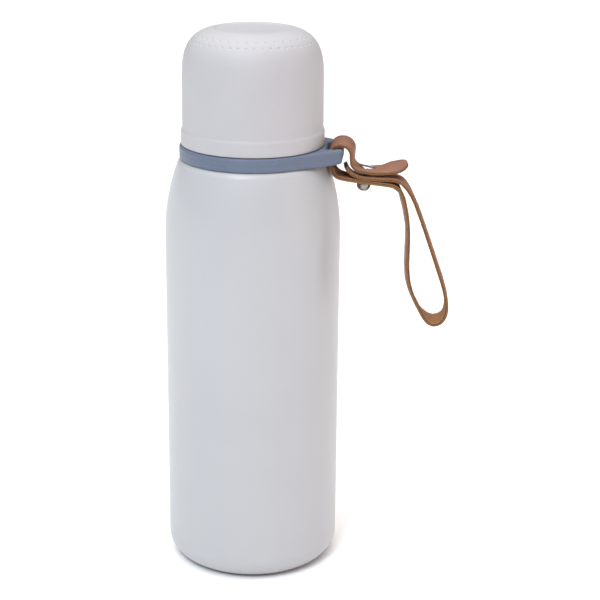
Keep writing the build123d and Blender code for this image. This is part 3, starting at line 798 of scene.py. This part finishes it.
# how the leather leans along each strip: (distance along it, degrees that its back edge is turned
# towards +X, degrees that its back edge is raised)
LOOP_LEAN = [
    (0, 0, -12),
    (12, 0, -7),
    (24, -1, -4),
    (32, -5, -2),
    (40, -4.2, -1),
    (62, -4, 0),
    (72, -3.5, 0),
    (78, -2, 0),
    (86, 0, 0),
    (92, -3, 0),
    (98, -9, 0),
    (105, -9, 0),
    (110, -7.4, 0),
    (116, -5, 0),
    (122, -4, 0),
    (132, -4, 0),
    (140, -6.5, 0),
    (147, -8.5, 0),
    (154, -6, -2),
    (163, -2, -4),
    (170, -1, -4),
    (178, 0, -1),
    (190, 0, 3.5),
]
FLAP_LEAN = [
    (0, 0, 3.5),
    (6, 0.5, 3.5),
    (14, 2, 3.5),
    (19, 0, -3),
    (24, 0, -4),
    (30, 0, -1),
    (36, 0, 6),
    (42, 0, 11),
]


def section_ring(half_w):
    """The strap's section as its (across, up) points round, and the material of the stretch after each."""
    pull = min(1, half_w / STRAP_HALF_W)
    right = []
    for inset, up, material in HALF_SECTION:
        across = half_w + inset * (pull if inset < -EDGE_ZONE else 1)
        right.append((across, up, material))
    right[0] = (0, right[0][1], GRAIN)
    right[-1] = (0, right[-1][1], FLESH)
    left = [(-across, up, material) for across, up, material in right[1:-1]]
    materials = [material for _, _, material in right[:-1]]
    points = [(across, up) for across, up, _ in right] + [(across, up) for across, up, _ in reversed(left)]
    return points, materials + list(reversed(materials))


def lean_at(leans, gone):
    """The strip's two leans at a distance along it, in radians."""
    for (start, turn_a, raise_a), (end, turn_b, raise_b) in zip(leans, leans[1:]):
        if gone <= end:
            share = max(0, (gone - start) / (end - start))
            share = share * share * (3 - 2 * share)
            turn = turn_a + (turn_b - turn_a) * share
            lift = raise_a + (raise_b - raise_a) * share
            return radians(turn), radians(lift)
    return radians(leans[-1][1]), radians(leans[-1][2])


def make_strip(name, line, leans, materials, width_at):
    """A leather strip whose front edge follows a line of points, in mm."""
    work = bmesh.new()
    rings = []
    gone = 0.0
    for index, point in enumerate(line):
        before, after = line[max(index - 1, 0)], line[min(index + 1, len(line) - 1)]
        if index:
            gone += (point - line[index - 1]).length
        along = (after - before).normalized()
        turn, lift = lean_at(leans, gone)
        across = Vector((sin(turn), cos(turn), sin(lift)))
        across = (across - along * across.dot(along)).normalized()
        up = along.cross(across).normalized()
        middle = point + across * STRAP_HALF_W
        points, faces = section_ring(width_at(gone))
        ring = []
        for y, n in points:
            spot = Vector((gone * FACE_WAVES_ALONG, y * FACE_WAVES_ACROSS, n))
            wander = noise.noise(spot) * FACE_WANDER
            edge_row = RIGHT_EDGE_ROW if y > 0 else LEFT_EDGE_ROW
            shift = noise.noise(Vector((gone * EDGE_WAVES, EDGE_ROW, edge_row))) * EDGE_WANDER
            y_moved = y + shift * min(1, abs(y) / STRAP_HALF_W)
            ring.append(work.verts.new((middle + across * y_moved + up * (n + wander)) * MM))
        rings.append(ring)
    count = len(rings[0])
    for first, second in zip(rings, rings[1:]):
        for k in range(count):
            face = work.faces.new((first[k], first[(k + 1) % count], second[(k + 1) % count], second[k]))
            face.material_index = faces[k]
    # the cut ends take the dark seam material: painted shade on the ends
    for ring in (rings[0], rings[-1]):
        work.faces.new(ring).material_index = SEAM_AND_END_SHADE
    return new_piece(name, work, materials, STRAP_SMOOTH_ANGLE)


def edge_points(line):
    return [Vector((x, -STRAP_HALF_W, z)) for x, z in line]


def length_of(line):
    return sum((b - a).length for a, b in zip(line, line[1:]))


def make_strap(materials):
    loop = through(edge_points(LOOP_LINE), STRAP_STEP)
    strap = make_strip("strap_hand_loop", loop, LOOP_LEAN, materials, lambda gone: STRAP_HALF_W)
    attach(strap, "strap")
    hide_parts("strap_loop")

    wrap = []
    for degrees_round in WRAP_DEGREES:
        angle = radians(degrees_round)
        wrap.append((BAR.x + WRAP_R * cos(angle), BAR.z + WRAP_R * sin(angle)))
    flap = through(edge_points([LOOP_LINE[-1], *wrap, *FLAP_LINE]), STRAP_STEP)
    tip_start = length_of(flap) - STRAP_HALF_W

    def flap_width(gone):
        """Full width, and then a round tip."""
        past = (gone - tip_start) / STRAP_HALF_W
        if past <= 0:
            return STRAP_HALF_W
        return max(TIP_MIN_HALF_W, STRAP_HALF_W * sqrt(max(0, 1 - past * past)))

    body = [p for p in flap if (flap[-1] - p).length > TIP_REACH]
    aim = (flap[-1] - body[-1]).normalized()
    tip = [flap[-1] - aim * step for step in TIP_STEPS]
    strip = make_strip("strap_flap_over_bar", [*body, *tip], FLAP_LEAN, materials, flap_width)
    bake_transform(strip)
    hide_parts("strap_flap")


# ---------------------------------------------------------------- valve spring


def make_valve_spring(material):
    """The coil between the stopper's guide and the button. The real coil shortens as the button goes down;
    this copy of its mesh rides with the stopper and keeps its length.
    """
    node = frame["nodes"]["valve_spring"]
    spring = bpy.data.objects.new("valve_spring_coil", node.data.copy())
    bpy.context.scene.collection.objects.link(spring)
    spring.matrix_world = node.matrix_world
    spring.data.materials.clear()
    spring.data.materials.append(material)
    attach(spring, "stopper")
    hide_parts("valve_spring")
    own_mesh(spring)


# ---------------------------------------------------------------- assembly

make_camera()
make_world()
for light in LIGHTS:
    make_light(*light)
make_floor(pale_floor())
bpy.context.scene.view_settings.view_transform = "Standard"

finishes = {
    "white_paint": white_paint(),
    "white_plastic": white_plastic(),
    "pale_plastic": pale_plastic(),
    "grey_plastic": grey_plastic(),
    "collar_silicone": collar_silicone(),
    "seal_silicone": seal_silicone(),
    "steel": steel(),
    "snap_nickel": nickel("snap_nickel", (0.52, 0.49, 0.46), (0.80, 0.79, 0.78)),
    "copper_foil": copper_foil(),
    "foam": foam(),
}
leather = [leather_grain(), leather_flesh(), leather_edge(), leather_seam_and_end_shade()]
finishes["strap_leather"] = leather[0]

for part in frame["record"]["subparts"]:
    node = frame["nodes"][part["node"]]
    node.data.materials.clear()
    node.data.materials.append(finishes[part["material_slot"]])

make_cup(finishes["white_plastic"])
# the post's nickel is darkened: a painted reflection of the dark leather round it
make_snap(finishes["snap_nickel"], nickel("snap_nickel_dark_reflection", (0.17, 0.145, 0.12), (0.36, 0.32, 0.28)))
make_strap(leather)
make_valve_spring(finishes["steel"])
